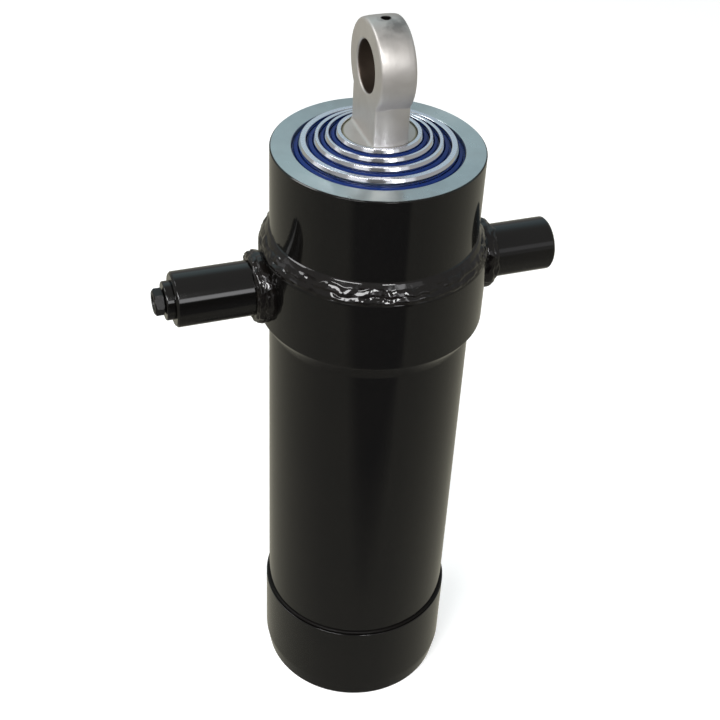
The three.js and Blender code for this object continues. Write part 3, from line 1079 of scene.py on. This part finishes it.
def add_floor():
    """A pale floor that isn't seen in reflections, because the world has its own."""
    material = bpy.data.materials.new("floor")
    material.use_nodes = True
    shader = material.node_tree.nodes["Principled BSDF"]
    tree = material.node_tree
    far = between(tree, distance_from_axis(tree), 0.0, 1.0, FLOOR_FADE_START, FLOOR_FADE_END)
    set_colour(tree, shader, far, (0.86, 0.86, 0.85), (0, 0, 0))
    light = between(tree, far, FLOOR_LIGHT, BACKDROP_LIGHT, 0.0, 1.0)
    tree.links.new(light, shader.inputs["Emission Strength"])
    shader.inputs["Roughness"].default_value = 0.9
    shader.inputs["Specular IOR Level"].default_value = 0.0
    shader.inputs["Emission Color"].default_value = (1, 1, 1, 1)
    mesh = bpy.data.meshes.new("floor")
    corners = [(x * FLOOR_REACH, y * FLOOR_REACH, 0) for x, y in ((-1, -1), (1, -1), (1, 1), (-1, 1))]
    mesh.from_pydata(corners, [], [(0, 1, 2, 3)])
    mesh.materials.append(material)
    floor = bpy.data.objects.new("floor", mesh)
    floor.location.z = -FLOOR_DROP
    floor.visible_glossy = False
    bpy.context.scene.collection.objects.link(floor)


def add_backdrop():
    """A pale dome that only the camera sees, so that it adds nothing to the light."""
    material = bpy.data.materials.new("backdrop")
    material.use_nodes = True
    shader = material.node_tree.nodes["Principled BSDF"]
    shader.inputs["Base Color"].default_value = (0, 0, 0, 1)
    shader.inputs["Emission Color"].default_value = (1, 1, 1, 1)
    shader.inputs["Emission Strength"].default_value = BACKDROP_LIGHT
    outline = [(0, -BACKDROP_RADIUS)]
    for row in range(1, BACKDROP_ROWS):
        rise = math.pi * (row / BACKDROP_ROWS - 0.5)
        outline.append((BACKDROP_RADIUS * math.cos(rise), BACKDROP_RADIUS * math.sin(rise)))
    outline.append((0, BACKDROP_RADIUS))
    dome = turned("backdrop", outline, segments=48)
    dome.data.materials.append(material)
    dome.visible_diffuse = False
    dome.visible_glossy = False
    dome.visible_transmission = False
    dome.visible_shadow = False


# The camera and the lights are placed in metres.
CAMERA_PLACE = Vector((-0.2855, -0.7398, 0.9206))
CAMERA_FORWARD = Vector((0.2806, 0.7410, -0.6101)).normalized()
CAMERA_ROLL = math.radians(3.035)
CAMERA_AZIMUTH = math.degrees(math.atan2(CAMERA_PLACE.x, -CAMERA_PLACE.y))
CAMERA_LENS = 64.7
CAMERA_SENSOR = 36.0
LIGHT_TARGET = Vector((0, 0, 0.40))
LIGHT_DISTANCE = 2.6


def add_camera():
    """A camera that looks down on the cylinder from its left front, turned a little about its view."""
    data = bpy.data.cameras.new("camera")
    data.lens = CAMERA_LENS
    data.sensor_width = CAMERA_SENSOR
    camera = bpy.data.objects.new("camera", data)
    right = CAMERA_FORWARD.cross(Vector((0, 0, 1))).normalized()
    up = right.cross(CAMERA_FORWARD)
    rolled_right = math.cos(CAMERA_ROLL) * right + math.sin(CAMERA_ROLL) * up
    rolled_up = -math.sin(CAMERA_ROLL) * right + math.cos(CAMERA_ROLL) * up
    turn = Matrix((rolled_right, rolled_up, -CAMERA_FORWARD)).transposed().to_4x4()
    camera.matrix_world = Matrix.Translation(CAMERA_PLACE) @ turn
    bpy.context.scene.collection.objects.link(camera)
    bpy.context.scene.camera = camera


def add_panel(name, azimuth, elevation, size, radiance):
    """A soft light that faces the cylinder's top. Azimuth is counted to the right of the camera."""
    around = math.radians(CAMERA_AZIMUTH + azimuth)
    rise = math.radians(elevation)
    back = Vector((math.sin(around) * math.cos(rise), -math.cos(around) * math.cos(rise), math.sin(rise)))
    data = bpy.data.lights.new(name, "AREA")
    data.shape = "RECTANGLE"
    data.size, data.size_y = size
    data.energy = radiance * math.pi * size[0] * size[1]
    panel = bpy.data.objects.new(name, data)
    panel.location = LIGHT_TARGET + back * LIGHT_DISTANCE
    panel.rotation_mode = "QUATERNION"
    panel.rotation_quaternion = back.to_track_quat("Z", "Y")
    panel.visible_camera = False
    bpy.context.scene.collection.objects.link(panel)
    return panel


def add_lights():
    """Three windows that show in the paint, and two fills that only light what is matt."""
    add_panel("window_left", -27, 40, (1.10, 0.80), 14)
    add_panel("window_right", 18, 40, (0.45, 0.70), 20)
    add_panel("window_side", -92, 44, (0.8, 1.0), 6)
    for name, azimuth, elevation, radiance in (("fill_left", -35, 16, 2.6), ("fill_right", 30, 14, 2.0)):
        fill = add_panel(name, azimuth, elevation, (1.2, 1.0), radiance)
        fill.visible_glossy = False


# Patches of the room's wall on the camera's side, each (azimuth to the right of the camera and
# half-width in degrees, lowest and highest upward part of the direction, radiance).
OPENINGS = [
    (0, 14, 0.14, 0.42, 0.05),
    (-27, 13, 0.14, 0.42, 0.85),
    (20, 6, 0.14, 0.42, 0.85),
    (-64, 7, 0.06, 0.25, 0.10),
    (-88, 9, -0.05, 0.20, 0.9),
    (30, 9, -0.10, 0.23, 0.015),
    (31, 7, 0.26, 0.50, 4.0),
    (47, 7, 0.26, 0.50, 0.8),
]


def add_world():
    """A room that is seen only in reflections: a dim floor, lighter behind the cylinder and darker in
    front of it, and a cool wall with bright and dark patches on the camera's side."""
    world = bpy.data.worlds.new("room")
    world.use_nodes = True
    tree = world.node_tree
    way = add_node(tree, "TexCoord").outputs["Generated"]
    upward = add_node(tree, "SeparateXYZ", Vector=way).outputs["Z"]
    level = vector_maths(tree, "MULTIPLY", way, (1, 1, 0)).outputs["Vector"]
    heading = vector_maths(tree, "NORMALIZE", level).outputs["Vector"]

    def towards(azimuth, start, stop, direction=way):
        """From 0 to 1 as a direction turns to an azimuth counted to the right of the camera.

        start and stop are cosines of the angle between the two.
        """
        around = math.radians(CAMERA_AZIMUTH + azimuth)
        aim = (math.sin(around), -math.cos(around), 0)
        dot = vector_maths(tree, "DOT_PRODUCT", direction, aim).outputs["Value"]
        return between(tree, dot, 0.0, 1.0, start, stop)

    def both(first, second):
        return calculate(tree, "MULTIPLY", first, second)

    def band(low, high, fade):
        """1 between two heights of the direction and 0 outside them."""
        rise = between(tree, upward, 0.0, 1.0, low - fade, low + fade)
        return both(rise, between(tree, upward, 1.0, 0.0, high - fade, high + fade))

    def with_opening(room, azimuth, half_width, low, high, radiance):
        """The room with a bright or dark patch, its half-width in degrees and 2 degrees of blur."""
        start = math.cos(math.radians(half_width + 2))
        stop = math.cos(math.radians(half_width - 2))
        where = both(towards(azimuth, start, stop, heading), band(low, high, 0.03))
        return blend(tree, where, room, (radiance, radiance, radiance * 1.02))

    floor = blend(tree, towards(0, -0.60, 0.50), (0.40, 0.385, 0.315), (0.225, 0.22, 0.195))
    underfoot = between(tree, upward, 0.0, 1.0, -0.80, -0.93)
    floor = blend(tree, underfoot, floor, (0.15, 0.145, 0.13))
    dip = both(towards(11, 0.66, 0.74), towards(46, 0.995, 0.985, heading))
    floor = blend(tree, dip, floor, (0.07, 0.07, 0.075))
    level_ahead = between(tree, upward, 0.0, 1.0, -0.45, -0.10)
    beyond = both(level_ahead, towards(30, 0.982, 0.991, heading))
    floor = blend(tree, beyond, floor, (0.015, 0.015, 0.018))
    wall = blend(tree, towards(-90, -0.08, 0.08), (0.47, 0.59, 0.64), (0.58, 0.725, 0.76))
    upper_wall = both(band(0.39, 0.80, 0.09), towards(180, -0.1, 0.4))
    room = blend(tree, upper_wall, (0.36, 0.355, 0.35), wall)
    for opening in OPENINGS:
        room = with_opening(room, *opening)
    colour = blend(tree, between(tree, upward, 0.0, 1.0, -0.01, 0.03), floor, room)
    background = tree.nodes["Background"]
    tree.links.new(colour, background.inputs["Color"])
    background.inputs["Strength"].default_value = 1.0
    bpy.context.scene.world = world


add_camera()
add_world()
add_lights()
add_floor()
add_backdrop()

add_base_cup()
add_base_weld()
add_barrel_tube()
add_head()
for prefix, slider in SLIDERS.items():
    add_wiper(prefix, slider)
add_trunnion_ring()
add_top_weld()
add_pins()
add_pin_weld("plain", about_pin, 31.0)
add_pin_weld("port", about_port_pin, 47.0)
add_port_fittings()
for number in (1, 2, 3):
    add_stage(number)
add_plunger()
add_rod_eye()
finish_hidden_pieces()

bpy.context.scene.view_settings.view_transform = "Standard"
